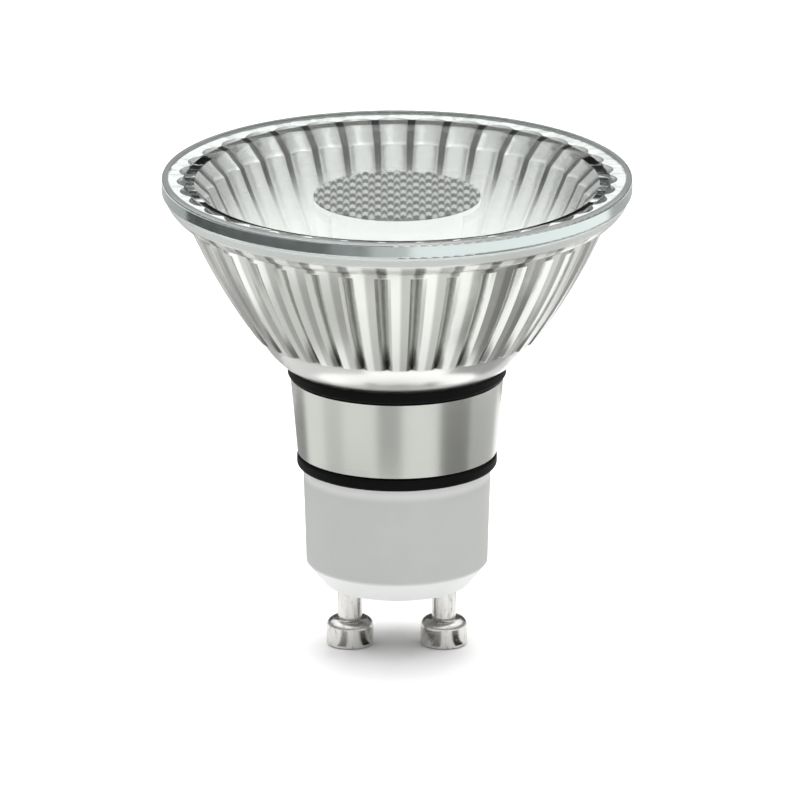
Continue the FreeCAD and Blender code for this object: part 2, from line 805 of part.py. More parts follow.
# smoothing capacitor: a grooved can on the board's upper edge, its flat legs down one face
def make_capacitor():
    body = new_body("smoothing_capacitor")
    top = s.driver_top + s.capacitor_height
    waist = s.driver_top + s.capacitor_waist
    revolve(body, "capacitor_can", [
        (0, s.driver_top),
        (s.capacitor_radius - s.capacitor_round, s.driver_top),
        (s.capacitor_radius, s.driver_top + s.capacitor_round, s.capacitor_round, "right"),
        (s.capacitor_radius, waist),
        (s.capacitor_radius, waist + s.capacitor_groove * 2, s.capacitor_groove, "left"),
        (s.capacitor_radius, top - s.capacitor_round),
        (s.capacitor_radius - s.capacitor_round, top, s.capacitor_round, "right"),
        (0, top),
    ])
    legs = new_sketch(body, "leg_outline", "XY_Plane", s.driver_top - s.leg_length)
    near = -(s.driver_thickness / 2)
    middle = s.leg_pitch / 2
    half = s.leg_side / 2
    add_loop(legs, box_corners(middle - half, middle + half, near - s.leg_side, near))
    add_loop(legs, box_corners(-middle - half, -middle + half, near - s.leg_side, near))
    pad(body, "legs", legs, s.leg_length + s.capacitor_round)
    return body


smoothing_capacitor = make_capacitor()


# choke: a bobbin-shaped core that stands out from the board's face, with its winding
def make_choke(label, corners):
    body = new_body(label)
    revolve(body, label + "_turned", corners)
    spin = FreeCAD.Rotation(FreeCAD.Vector(1, 0, 0), 90)
    body.Placement = FreeCAD.Placement(FreeCAD.Vector(0, 0, 0), spin)
    level = s.driver_bottom + s.part_level + s.choke_radius
    move(body, x=-(s.driver_half / 2), y=-(s.driver_thickness / 2), z=level)
    return body


choke_core = make_choke("choke_core", [
    (0, 0),
    (s.choke_radius, 0),
    (s.choke_radius, s.choke_flange),
    (s.choke_core_radius, s.choke_flange),
    (s.choke_core_radius, s.choke_height - s.choke_flange),
    (s.choke_radius, s.choke_height - s.choke_flange),
    (s.choke_radius, s.choke_height),
    (0, s.choke_height),
])


def winding_corners():
    # the turns of wire, as rounds stacked between the bobbin's flanges
    low = s.choke_flange
    inner = s.choke_core_radius + s.winding_gap
    turns = int(s.winding_turns.value)
    rise = (s.choke_height - s.choke_flange * 2 - s.winding_gap) / s.winding_turns
    curve = rise * s.winding_swell
    corners = [(inner, low), (s.winding_radius, low)]
    for turn in range(turns):
        corners.append((s.winding_radius, low + rise * (turn + 1), curve, "right"))
    corners.append((inner, low + rise * turns))
    return corners


choke_winding = make_choke("choke_winding", winding_corners())


def make_block(label, middle, width, low, height, near, depth):
    # a moulded part with chamfered outer corners, flat against one face of the driver board
    body = new_body(label)
    half = width / 2
    edge = s.film_bevel
    sketch = new_sketch(body, label + "_outline", "XY_Plane", low)
    outward = depth if as_size(near).value > 0 else -depth
    far = near + outward
    bevel = edge if as_size(near).value > 0 else -edge
    add_loop(sketch, [
        (middle - half, near),
        (middle + half, near),
        (middle + half, far - bevel),
        (middle + half - edge, far),
        (middle - half + edge, far),
        (middle - half, far - bevel),
    ])
    pad(body, label + "_block", sketch, height)
    return body


front_face = -(s.driver_thickness / 2)
back_face = s.driver_thickness / 2
part_foot = s.driver_bottom + s.part_level
bridge_rectifier = make_block("bridge_rectifier", s.driver_half / 2, s.bridge_width,
                              part_foot, s.bridge_height, front_face, s.bridge_depth)
film_capacitor = make_block("film_capacitor", s.driver_half / 3, s.film_width,
                            part_foot, s.film_height, back_face, s.film_depth)
driver_chip = make_block("driver_chip", -(s.driver_half / 6), s.chip_width,
                         part_foot + s.film_height + s.chip_gap, s.chip_height,
                         back_face, s.chip_depth)


# leads that rise from the driver board through the pedestal to the emitters' board
def make_lead(label, across):
    body = new_body(label)
    sketch = new_sketch(body, label + "_outline", "XY_Plane", s.driver_top)
    add_circle(sketch, across, 0, s.lead_radius)
    pad(body, label + "_wire", sketch, s.led_board_top - s.driver_top + s.lead_stand)
    return body


led_lead_positive = make_lead("led_lead_positive", s.lead_across)
led_lead_negative = make_lead("led_lead_negative", -s.lead_across)

nodes = [front_lens, collimator, reflector_cup, upper_gasket, heat_sink_collar, lower_gasket, base_shell,
         contact_pin_left, contact_pin_right, led_board, board_screws, driver_board,
         smoothing_capacitor, choke_core, choke_winding, bridge_rectifier, driver_chip,
         film_capacitor, led_lead_positive, led_lead_negative, *leds]

doc.recompute()
for item in doc.Objects:
    if "Invalid" in item.State or "Error" in item.State:
        raise RuntimeError("%s is %s" % (item.Label, item.State))
for node in nodes:
    shape = node.Shape
    if shape.isNull() or not shape.isValid():
        raise RuntimeError(node.Label + " has no valid shape")
    shape.exportStep("parts/%s.step" % node.Label)
    print(node.Label, len(shape.Solids), "solids", len(shape.Faces), "faces",
          round(shape.Volume, 2), "mm3")
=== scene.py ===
import math

import bmesh
import bpy
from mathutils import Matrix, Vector


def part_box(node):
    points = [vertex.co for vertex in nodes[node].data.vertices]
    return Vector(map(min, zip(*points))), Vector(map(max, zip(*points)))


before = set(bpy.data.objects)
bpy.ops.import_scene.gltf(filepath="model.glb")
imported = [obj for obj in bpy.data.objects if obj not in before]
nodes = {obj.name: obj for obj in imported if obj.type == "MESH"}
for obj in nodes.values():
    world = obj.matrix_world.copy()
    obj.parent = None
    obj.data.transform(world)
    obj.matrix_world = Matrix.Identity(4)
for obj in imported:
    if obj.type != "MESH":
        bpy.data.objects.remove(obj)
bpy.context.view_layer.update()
mmPerMetre = 1000.0   # the looks below give places and depths in millimetres
print("frame loaded with", len(nodes), "nodes")


# shader kit

class Wire:
    # an output socket of a graph; arithmetic on it adds Math nodes to that graph
    def __init__(self, graph, socket):
        self.graph = graph
        self.socket = socket

    def maths(self, operation, *values):
        return self.graph.node("ShaderNodeMath", {"operation": operation}, dict(enumerate(values)))

    def __add__(self, other):
        return self.maths("ADD", self, other)

    def __sub__(self, other):
        return self.maths("SUBTRACT", self, other)

    def __rsub__(self, other):
        return self.maths("SUBTRACT", other, self)

    def __mul__(self, other):
        return self.maths("MULTIPLY", self, other)

    def __pow__(self, other):
        return self.maths("POWER", self, other)

    __radd__ = __add__
    __rmul__ = __mul__

    def sine(self):
        return self.maths("SINE", self)

    def cosine(self):
        return self.maths("COSINE", self)


class Graph:
    # a node tree; node() makes every node that is added to it
    def __init__(self, tree):
        self.tree = tree

    def fill(self, socket, value):
        if isinstance(value, Wire):
            self.tree.links.new(value.socket, socket)
        elif socket.type == "RGBA" and len(value) == 3:
            socket.default_value = (*value, 1.0)
        else:
            socket.default_value = value

    def node(self, kind, settings=None, sockets=None, out=0):
        made = self.tree.nodes.new(kind)
        for name, value in (settings or {}).items():
            setattr(made, name, value)
        for name, value in (sockets or {}).items():
            self.fill(made.inputs[name], value)
        return Wire(self, made.outputs[out])

    def parts(self, vector):
        split = self.node("ShaderNodeSeparateXYZ", None, {0: vector}).socket.node
        return [Wire(self, socket) for socket in split.outputs]

    def step(self, value, low, high, bottom=0.0, top=1.0):
        # goes smoothly from bottom to top while the value goes from low to high
        sockets = {"Value": value, "From Min": low, "From Max": high, "To Min": bottom, "To Max": top}
        return self.node("ShaderNodeMapRange", {"interpolation_type": "SMOOTHSTEP"}, sockets)

    def band(self, value, low, high, soft):
        # 1 between low and high, and 0 beyond them
        start = self.step(value, low - soft, low + soft)
        end = self.step(value, high - soft, high + soft)
        return start * (1 - end)

    def blend(self, factor, first, second):
        # of a Mix node's sockets, these are the ones for colours
        return self.node("ShaderNodeMix", {"data_type": "RGBA"}, {0: factor, 6: first, 7: second}, 2)


class Finish(Graph):
    # one material: plain values sit on its shader, and the rest is added to them
    def __init__(self, name, plain):
        self.material = bpy.data.materials.new(name)
        self.material.use_nodes = True
        super().__init__(self.material.node_tree)
        self.shader = self.tree.nodes["Principled BSDF"]
        for socket, value in plain.items():
            self.use(socket, value)
        metres = {0: self.node("ShaderNodeTexCoord", out="Object"), "Scale": mmPerMetre}
        self.place = self.node("ShaderNodeVectorMath", {"operation": "SCALE"}, metres)
        self.x, self.y, self.z = self.parts(self.place)

    def use(self, socket, value):
        self.fill(self.shader.inputs[socket], value)

    def angle(self):
        return self.y.maths("ARCTAN2", self.y, self.x)

    def radius(self):
        return (self.x * self.x + self.y * self.y) ** 0.5

    def outward(self):
        # how far the surface faces away from the axis, from -1 to 1
        normal = self.node("ShaderNodeNewGeometry", out="Normal")
        arm = self.node("ShaderNodeCombineXYZ", None, {0: self.x, 1: self.y})
        arm = self.node("ShaderNodeVectorMath", {"operation": "NORMALIZE"}, {0: arm})
        return self.node("ShaderNodeVectorMath", {"operation": "DOT_PRODUCT"}, {0: normal, 1: arm}, "Value")

    def upward(self):
        # how far the surface faces up, from -1 to 1
        return self.parts(self.node("ShaderNodeNewGeometry", out="Normal"))[2]

    def noise(self, scale, detail=3.0, stretch=(1.0, 1.0, 1.0), roughness=0.5):
        vector = self.node("ShaderNodeVectorMath", {"operation": "MULTIPLY"}, {0: self.place, 1: stretch})
        sockets = {"Vector": vector, "Scale": scale, "Detail": detail, "Roughness": roughness}
        return self.node("ShaderNodeTexNoise", None, sockets)

    def overlay(self, factor, plain):
        # a second shader takes over from the first as the factor goes to 1
        first = Wire(self, self.shader.outputs[0])
        second = self.node("ShaderNodeBsdfPrincipled", None, plain)
        mixed = self.node("ShaderNodeMixShader", None, {0: factor, 1: first, 2: second})
        self.fill(self.tree.nodes["Material Output"].inputs[0], mixed)

    def relief(self, height, depth, strength=0.5):
        # the height goes from 0 to 1, which stands for the depth
        sockets = {"Height": height, "Distance": depth / mmPerMetre, "Strength": strength}
        self.use("Normal", self.node("ShaderNodeBump", None, sockets))


def grainedFinish(name, look, plain):
    # a grain that clouds one colour into another, and makes the roughness and the relief too
    finish = Finish(name, plain)
    grain = finish.noise(*look["grain"])
    smooth, spread = look["roughness"]
    finish.use("Base Color", finish.blend(grain, look["dark"], look["light"]))
    finish.use("Roughness", smooth + spread * grain)
    finish.relief(grain, look["depth"])
    return finish


def dress(finish, *names):
    for name in names:
        piece = nodes[name]
        piece.data.materials.clear()
        piece.data.materials.append(finish.material)


# front lens, reflector cup and collimator
# in this look and in those after it, "roughness" is the smoothest value and what the grain adds to
# it, "relief" is a depth and a strength, a Start or a Facing is where a mask begins and where it is
# full, and a Share is how far one thing covers another

lensLook = {
    "tint": (0.975, 0.99, 0.985),
    "bend": 1.49,
    "ripple": (0.35, 1.0),
    "rippleRoughness": 0.02,
    "relief": (0.01, 0.2),
    # the radii between which the edge starts, and the same for the bevel round the top
    "edgeStart": (24.65, 24.8),
    "edge": (0.48, 0.53, 0.52),
    "edgeMetal": 0.95,
    "edgeCloud": (0.8, 3.0),
    "edgeRoughness": (0.13, 0.08),
    "bevelStart": (24.22, 24.38),
    "topFacing": (0.5, 0.7),
    "bevelCloud": (0.15, 2.0),
    "bevel": (0.16, 0.165, 0.16),
    "bevelLight": (0.26, 0.27, 0.26),
}


def lensFinish():
    look = lensLook
    finish = Finish("pressedGlass", {
        "IOR": look["bend"],
        "Transmission Weight": 1.0,
        "Base Color": look["tint"],
    })
    ripple = finish.noise(*look["ripple"])
    finish.use("Roughness", look["rippleRoughness"] * ripple)
    finish.relief(ripple, *look["relief"])
    lensEdge(finish, look)
    return finish


def lensEdge(finish, look):
    # the bright edge, and the ground bevel round the top, lie over the clear glass
    reach = finish.radius()
    edge = finish.step(reach, *look["edgeStart"])
    top = finish.step(finish.upward(), *look["topFacing"])
    bevel = top * finish.step(reach, *look["bevelStart"])
    ground = finish.blend(finish.noise(*look["bevelCloud"]), look["bevel"], look["bevelLight"])
    smooth, spread = look["edgeRoughness"]
    finish.overlay(edge + bevel * (1 - edge), {
        "Base Color": finish.blend(bevel, look["edge"], ground),
        "Metallic": look["edgeMetal"] * (1 - bevel),
        "Roughness": smooth + spread * finish.noise(*look["edgeCloud"]),
    })


cupLook = {
    "fluteCount": 36,
    "grooveAngle": math.radians(6),
    # the levels between which each zone starts or ends
    "shoulderHighlightEnd": (34.4, 35.0),
    "footEnd": (35.5, 39.0),
    "bottomLightEnd": (39.0, 47.0),
    "ridgeStart": (42.2, 46.6),
    "crownStart": (47.0, 47.6),
    "bevelStart": (47.3, 48.0),
    "flangeStart": (49.1, 49.4),
    # foot, top and softness of the fluted wall, and of the lip between the flutes and the flange
    "wall": (35.0, 49.1, 0.2),
    "lip": (47.8, 49.1, 0.2),
    # outside
    "outsideFacing": (-0.1, 0.1),
    "silver": (0.62, 0.63, 0.60),
    # the flank colour is painted shade on one side of every flute, and the shoulder colour is a painted
    # highlight
    "flank": (0.32, 0.325, 0.305),
    "shadedFlankStart": (-0.35, 0.45),
    "shadedFlankShare": 0.8,
    "shoulder": (0.74, 0.745, 0.72),
    # inside: the silver is painted lighter than outside, and lighter still towards the bottom, as painted
    # light; the bevel at the top is painted darker, as painted shade
    "inside": (0.71, 0.715, 0.695),
    "bottom": (0.84, 0.85, 0.84),
    "bevel": (0.44, 0.445, 0.43),
    # the flange's rim, and its top face under the lens, which is painted white as painted light in place of
    # its bright silver coat
    "flangeFacing": (-0.4, -0.2),
    "seatFacing": (0.8, 0.95),
    "rim": (0.43, 0.45, 0.435),
    "seat": (0.90, 0.92, 0.915),
    # the dark of the grooves is painted shade; it starts and is full at these cosines of the flute's turn,
    # which are less at the foot and at the crown, and covers the silver this far, and more at foot and
    # crown
    "groove": (0.045, 0.045, 0.043),
    "grooveStart": (0.7, 0.9, 0.25),
    "grooveFull": (1.1, 0.35, 0.15),
    "grooveShadeShare": (0.1, 0.7, 0.6),
    # the same for the painted shade along the ridges inside: the cosine at the bottom, and how much less it
    # is at the top
    "ridgeFrom": (0.86, 0.16),
    "ridgeFull": (0.97, 0.09),
    "ridgeLeast": 0.15,
    "ridgeShadeShare": 0.92,
    # how much less than a full metal each part is
    "flangeDull": 0.9,
    "bottomDull": 0.6,
    "insideDull": 0.18,
    "lipDull": 0.5,
    "cloud": (0.6, 3.0),
    "roughness": (0.17, 0.10),
    "flangeRoughness": 0.2,
    "dents": (1.1, 2.0),
    "relief": (0.01, 0.2),
}


def cupGrooveShade(finish, look, groove, outside, wall):
    # the painted shade in the grooves outside is broad and dark at the foot, and dark again at the crown
    low = 1 - finish.step(finish.z, *look["footEnd"])
    crown = finish.step(finish.z, *look["crownStart"])
    start, lowStart, crownStart = look["grooveStart"]
    full, lowFull, crownFull = look["grooveFull"]
    shade, lowShade, crownShade = look["grooveShadeShare"]
    narrow = start - lowStart * low - crownStart * crown
    broad = full - lowFull * low - crownFull * crown
    grooves = finish.step(groove, narrow, broad) * outside * wall
    return grooves, grooves * (shade + lowShade * low + crownShade * crown)


def cupRidgeShade(finish, look, groove, inside):
    # the painted shade along the ridges inside is broad lines at the top, which taper and fade towards the
    # bottom
    strength = finish.step(finish.z, *look["ridgeStart"])
    start, topStart = look["ridgeFrom"]
    full, topFull = look["ridgeFull"]
    lines = finish.step(groove, start - topStart * strength, full - topFull * strength)
    least = look["ridgeLeast"]
    return lines * inside * (least + (1 - least) * strength) * look["ridgeShadeShare"]


def cupOuterPaintedLightAndShade(finish, look, turn, wall):
    # one flank of every flute is painted darker than the other, as painted shade, and the plain shoulder is
    # painted lighter, as a painted highlight
    flank = finish.step(turn.sine() * -1, *look["shadedFlankStart"])
    shoulder = 1 - finish.step(finish.z, *look["shoulderHighlightEnd"])
    fluted = finish.blend(flank * wall * look["shadedFlankShare"], look["silver"], look["flank"])
    return finish.blend(shoulder, fluted, look["shoulder"])


def cupInnerPaintedLightAndShade(finish, look, depth):
    # painted light towards the bottom of the bowl, and painted shade on the bevel at its top
    bevel = finish.step(finish.z, *look["bevelStart"])
    return finish.blend(bevel, finish.blend(depth, look["inside"], look["bottom"]), look["bevel"])


def cupFinish():
    look = cupLook
    finish = Finish("silveredGlass", {})
    outward = finish.outward()
    outside = finish.step(outward, *look["outsideFacing"])
    inside = 1 - outside
    turn = (finish.angle() - look["grooveAngle"]) * look["fluteCount"]
    groove = turn.cosine()
    wall = finish.band(finish.z, *look["wall"])
    # depth is the mask of the painted light at the bottom of the bowl, which is also made less metal there
    depth = (1 - finish.step(finish.z, *look["bottomLightEnd"])) * inside
    silver = finish.blend(outside, cupInnerPaintedLightAndShade(finish, look, depth), cupOuterPaintedLightAndShade(finish, look, turn, wall))
    grooves, grooveShade = cupGrooveShade(finish, look, groove, outside, wall)
    shade = grooveShade + cupRidgeShade(finish, look, groove, inside)
    # the painted shade of the grooves outside and of the ridges inside darkens the silver
    shaded = finish.blend(shade, silver, look["groove"])
    faced = finish.step(outward, *look["flangeFacing"])
    flange = finish.step(finish.z, *look["flangeStart"]) * faced
    # the seat's white is painted light
    seat = finish.step(finish.upward(), *look["seatFacing"])
    plain = finish.blend(seat, look["rim"], look["seat"])
    finish.use("Base Color", finish.blend(flange, shaded, plain))
    lip = finish.band(finish.z, *look["lip"]) * outside
    metal = 1 - look["flangeDull"] * flange - look["bottomDull"] * depth
    metal = metal - look["insideDull"] * inside * (1 - flange)
    finish.use("Metallic", metal - look["lipDull"] * lip * (1 - grooves))
    smooth, spread = look["roughness"]
    cloud = finish.noise(*look["cloud"])
    finish.use("Roughness", smooth + spread * cloud + look["flangeRoughness"] * flange)
    finish.relief(finish.noise(*look["dents"]), *look["relief"])
    return finish


opticLook = {
    "bend": 1.49,
    "clear": 0.1,
    # the flank glows though it is no lamp: painted light for the light the bowl throws on it
    "glow": 0.25,
    "flank": (0.95, 0.96, 0.95),
    "facet": (0.49, 0.505, 0.485),
    # the dark facets of the checker are painted shade
    "facetShade": (0.13, 0.13, 0.125),
    "facetMetal": 0.8,
    "facetPeriod": 1.344,
    "facetDepth": 0.45,
    "facetSoftness": 0.02,
    "facetShadeStart": (-0.5, 0.7),
    "haze": (2.0, 4.0),
    "roughness": (0.3, 0.15),
    "relief": (0.01, 0.4),
}


def opticFinish():
    look = opticLook
    finish = Finish("mouldedOptic", {
        "IOR": look["bend"],
        "Transmission Weight": look["clear"],
        "Emission Strength": look["glow"],
    })
    # a checker of light and dark facets is painted shade on the pyramids' faces turned from the light
    across = finish.x * (2 * math.pi / look["facetPeriod"])
    along = finish.y * (math.pi / look["facetPeriod"])
    facetShadeChecker = finish.step(across.cosine() * along.cosine(), *look["facetShadeStart"])
    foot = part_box("collimator")[1].z * mmPerMetre - look["facetDepth"]
    facets = finish.step(finish.z, foot - look["facetSoftness"], foot)
    grey = finish.blend(facetShadeChecker, look["facetShade"], look["facet"])
    haze = finish.noise(*look["haze"])
    smooth, spread = look["roughness"]
    finish.use("Base Color", finish.blend(facets, look["flank"], grey))
    # painted light: the flank glows in its own colour
    finish.use("Emission Color", finish.blend(facets, look["flank"], (0.0, 0.0, 0.0)))
    finish.use("Metallic", look["facetMetal"] * facets)
    finish.use("Roughness", smooth + spread * haze)
    finish.relief(haze, *look["relief"])
    return finish


dress(lensFinish(), "front_lens")
nodes["front_lens"].visible_shadow = False   # light reaches the bowl through the glass
dress(cupFinish(), "reflector_cup")
nodes["reflector_cup"].visible_shadow = False   # keeps the shadow on the floor as narrow as the base
dress(opticFinish(), "collimator")
print("lens, cup and collimator dressed")


# gaskets, collar, base and pins

rubberLook = {
    "grain": (9.0, 5.0),
    "dark": (0.001, 0.001, 0.001),
    "light": (0.005, 0.005, 0.0052),
    "roughness": (0.38, 0.25),
    "depth": 0.02,
}


def rubberFinish():
    return grainedFinish("blackRubber", rubberLook, {"Specular IOR Level": 0.05})


collarLook = {
    "lines": (4.0, 6.0, (0.02, 0.02, 5.0), 0.7),
    "stain": (0.25, 3.0),
    "lineShare": 0.6,
    "stainShare": 0.4,
    "metal": (0.35, 0.357, 0.335),
    "bright": (0.43, 0.44, 0.41),
    "roughness": (0.17, 0.08),
    "lineDepth": 0.006,
}


def collarFinish():
    look = collarLook
    finish = Finish("turnedAluminium", {"Metallic": 1.0, "Anisotropic": 0.5})
    lines = finish.noise(*look["lines"])
    stain = finish.noise(*look["stain"])
    cover = lines * look["lineShare"] + stain * look["stainShare"]
    smooth, spread = look["roughness"]
    finish.use("Base Color", finish.blend(cover, look["metal"], look["bright"]))
    finish.use("Roughness", smooth + spread * lines)
    finish.relief(lines, look["lineDepth"])
    return finish


baseLook = {
    # the levels between which the painted highlight on the bevel ends, and the painted highlight of the
    # strip under the ring starts
    "bevelHighlightEnd": (9.2, 9.8),
    "stripHighlightStart": (18.6, 19.6),
    "bevelHighlightShare": 0.9,
    "stripHighlightShare": 0.5,
    "underShadeFacing": (0.85, 0.95),
    "speckle": (5.0, 6.0, (1.0, 1.0, 1.0), 0.65),
    "cloud": (0.3, 2.0),
    "speckleShare": 0.6,
    "cloudShare": 0.4,
    "white": (0.488, 0.498, 0.486),
    "shade": (0.42, 0.43, 0.418),
    # the edge colour is the painted highlight of the bevel and of the strip under the ring
    "edge": (0.79, 0.80, 0.79),
    # the underside colour is painted shade, darker where the base sits over the floor
    "under": (0.30, 0.305, 0.297),
    "roughness": (0.42, 0.15),
    "depth": 0.02,
}


def baseFinish():
    look = baseLook
    finish = Finish("mouldedWhite", {"Specular IOR Level": 0.45})
    speckle = finish.noise(*look["speckle"])
    cloud = finish.noise(*look["cloud"])
    cover = speckle * look["speckleShare"] + cloud * look["cloudShare"]
    body = finish.blend(cover, look["shade"], look["white"])
    # painted highlights: the bevel at the foot and a strip under the ring are lighter
    bevel = 1 - finish.step(finish.z, *look["bevelHighlightEnd"])
    strip = finish.step(finish.z, *look["stripHighlightStart"])
    bright = bevel * look["bevelHighlightShare"] + strip * look["stripHighlightShare"]
    outer = finish.blend(bright, body, look["edge"])
    # painted shade: the underside is darker
    under = finish.step(finish.upward() * -1, *look["underShadeFacing"])
    smooth, spread = look["roughness"]
    finish.use("Base Color", finish.blend(under, outer, look["under"]))
    finish.use("Roughness", smooth + spread * speckle)
    finish.relief(speckle, look["depth"])
    return finish


pinLook = {
    "rings": (5.0, 5.0, (0.05, 0.05, 4.0), 0.7),
    "rub": (1.6, 5.0, (1.0, 1.0, 0.4), 0.6),
    "rubStart": (0.5, 0.72),
    "rubShare": 0.7,
    "bright": (0.66, 0.65, 0.63),
    "rubbed": (0.34, 0.33, 0.31),
    "roughness": (0.16, 0.1),
    "rubRoughness": 0.15,
    "depth": 0.015,
}


def pinFinish():
    look = pinLook
    finish = Finish("nickelPlate", {"Metallic": 1.0})
    rings = finish.noise(*look["rings"])
    rub = finish.step(finish.noise(*look["rub"]), *look["rubStart"])
    smooth, spread = look["roughness"]
    finish.use("Base Color", finish.blend(rub * look["rubShare"], look["bright"], look["rubbed"]))
    finish.use("Roughness", smooth + spread * rings + look["rubRoughness"] * rub)
    finish.relief(rings, look["depth"])
    return finish


dress(rubberFinish(), "lower_gasket", "upper_gasket")
dress(collarFinish(), "heat_sink_collar")
dress(baseFinish(), "base_shell")
dress(pinFinish(), "contact_pin_left", "contact_pin_right")
print("body dressed")


# light engine and driver inside

boardLook = {
    "topFacing": (0.4, 0.6),
    "trackRing": (2.6, 6.0, 0.06),
    "grain": (6.0, 4.0),
    "trackShare": 0.25,
    "grainShare": 0.1,
    "trackHeight": 0.6,
    "grainHeight": 0.4,
    "mask": (0.86, 0.86, 0.84),
    "copper": (0.75, 0.52, 0.30),
    "core": (0.62, 0.62, 0.61),
    "roughness": (0.32, 0.2),
    "relief": (0.03, 0.6),
}


def boardFinish():
    look = boardLook
    finish = Finish("whiteMask", {})
    top = finish.step(finish.upward(), *look["topFacing"])
    tracks = finish.band(finish.radius(), *look["trackRing"])
    grain = finish.noise(*look["grain"])
    cover = tracks * look["trackShare"] + grain * look["grainShare"]
    mask = finish.blend(cover, look["mask"], look["copper"])
    smooth, spread = look["roughness"]
    finish.use("Base Color", finish.blend(top, look["core"], mask))
    finish.use("Metallic", 1 - top)
    finish.use("Roughness", smooth + spread * grain)
    height = tracks * look["trackHeight"] + grain * look["grainHeight"]
    finish.relief(height, *look["relief"])
    return finish


emitterLook = {
    "domeLevel": (0.56, 0.6),
    "grain": (14.0, 4.0),
    "grainShare": 0.3,
    "package": (0.85, 0.84, 0.80),
    "phosphor": (0.93, 0.72, 0.12),
    "phosphorLight": (0.95, 0.82, 0.35),
    "roughness": (0.3, 0.25),
    "depth": 0.01,
}


def emitterFinish():
    look = emitterLook
    finish = Finish("phosphorEmitter", {})
    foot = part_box("led_1")[0].z * mmPerMetre
    low, high = look["domeLevel"]
    dome = finish.step(finish.z, foot + low, foot + high)
    grain = finish.noise(*look["grain"])
    cover = grain * look["grainShare"]
    phosphor = finish.blend(cover, look["phosphor"], look["phosphorLight"])
    smooth, spread = look["roughness"]
    finish.use("Base Color", finish.blend(dome, look["package"], phosphor))
    finish.use("Roughness", smooth + spread * grain)
    finish.relief(grain, look["depth"])
    return finish


steelLook = {
    "grain": (7.0, 5.0, (1.0, 1.0, 3.0), 0.7),
    "dark": (0.45, 0.46, 0.47),
    "light": (0.72, 0.73, 0.74),
    "roughness": (0.22, 0.2),
    "depth": 0.01,
}


def steelFinish():
    return grainedFinish("zincSteel", steelLook, {"Metallic": 1.0})


laminateLook = {
    "weave": (3.0, 2.0),
    "trackScale": 0.8,
    "green": (0.03, 0.17, 0.08),
    "track": (0.06, 0.30, 0.13),
    "roughness": (0.3, 0.2),
    "depth": 0.02,
}


def laminateFinish():
    look = laminateLook
    finish = Finish("greenLaminate", {"Coat Weight": 0.3})
    weave = finish.noise(*look["weave"])
    sockets = {"Vector": finish.place, "Scale": look["trackScale"]}
    tracks = finish.node("ShaderNodeTexBrick", None, sockets, "Fac")
    smooth, spread = look["roughness"]
    finish.use("Base Color", finish.blend(tracks, look["green"], look["track"]))
    finish.use("Roughness", smooth + spread * weave)
    finish.relief(weave, look["depth"])
    return finish


canLook = {
    "lidBelowTop": (0.35, 0.25),
    "stripeStart": (2.4, 2.5),
    "grain": (5.0, 4.0),
    "sleeve": (0.015, 0.02, 0.045),
    "stripe": (0.55, 0.56, 0.58),
    "lid": (0.75, 0.75, 0.76),
    "roughness": (0.25, 0.15),
    "depth": 0.01,
}


def canFinish():
    look = canLook
    finish = Finish("capacitorSleeve", {"Specular IOR Level": 0.5})
    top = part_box("smoothing_capacitor")[1].z * mmPerMetre
    low, high = look["lidBelowTop"]
    lid = finish.step(finish.z, top - low, top - high)
    stripe = finish.step(finish.x, *look["stripeStart"])
    grain = finish.noise(*look["grain"])
    sleeve = finish.blend(stripe, look["sleeve"], look["stripe"])
    smooth, spread = look["roughness"]
    finish.use("Base Color", finish.blend(lid, sleeve, look["lid"]))
    finish.use("Metallic", lid)
    finish.use("Roughness", smooth + spread * grain)
    finish.relief(grain, look["depth"])
    return finish


ferriteLook = {
    "grain": (12.0, 5.0),
    "dark": (0.03, 0.03, 0.032),
    "light": (0.09, 0.09, 0.095),
    "roughness": (0.55, 0.25),
    "depth": 0.02,
}


def ferriteFinish():
    return grainedFinish("ferriteCore", ferriteLook, {})


wireLook = {
    "grain": (4.0, 3.0, (1.0, 6.0, 1.0)),
    "dark": (0.50, 0.17, 0.06),
    "light": (0.80, 0.36, 0.15),
    "roughness": (0.25, 0.15),
    "depth": 0.02,
}


def wireFinish():
    return grainedFinish("enamelWire", wireLook, {"Metallic": 0.85, "Coat Weight": 0.6})


chipLook = {
    "grain": (10.0, 5.0),
    "dark": (0.01, 0.01, 0.011),
    "light": (0.035, 0.035, 0.037),
    "roughness": (0.5, 0.2),
    "depth": 0.02,
}


def chipFinish():
    return grainedFinish("epoxyBlack", chipLook, {"Specular IOR Level": 0.35})


filmLook = {
    "grain": (6.0, 4.0),
    "dark": (0.62, 0.40, 0.04),
    "light": (0.78, 0.55, 0.10),
    "roughness": (0.35, 0.2),
    "depth": 0.02,
}


def filmFinish():
    return grainedFinish("yellowCase", filmLook, {"Specular IOR Level": 0.5})


leadLook = {
    "grain": (7.0, 3.0, (1.0, 1.0, 0.3)),
    "roughness": (0.35, 0.15),
    "depth": 0.01,
    "redLead": {"dark": (0.45, 0.01, 0.01), "light": (0.65, 0.03, 0.02)},
    "blackLead": {"dark": (0.01, 0.01, 0.01), "light": (0.04, 0.04, 0.04)},
}


def leadFinish(name):
    return grainedFinish(name, {**leadLook, **leadLook[name]}, {"Specular IOR Level": 0.5})


dress(boardFinish(), "led_board")
dress(emitterFinish(), *["led_%d" % number for number in range(1, 7)])
dress(steelFinish(), "board_screws")
dress(laminateFinish(), "driver_board")
dress(canFinish(), "smoothing_capacitor")
dress(ferriteFinish(), "choke_core")
dress(wireFinish(), "choke_winding")
dress(chipFinish(), "bridge_rectifier", "driver_chip")
dress(filmFinish(), "film_capacitor")
dress(leadFinish("redLead"), "led_lead_positive")
dress(leadFinish("blackLead"), "led_lead_negative")
print("inner works dressed")


# studio

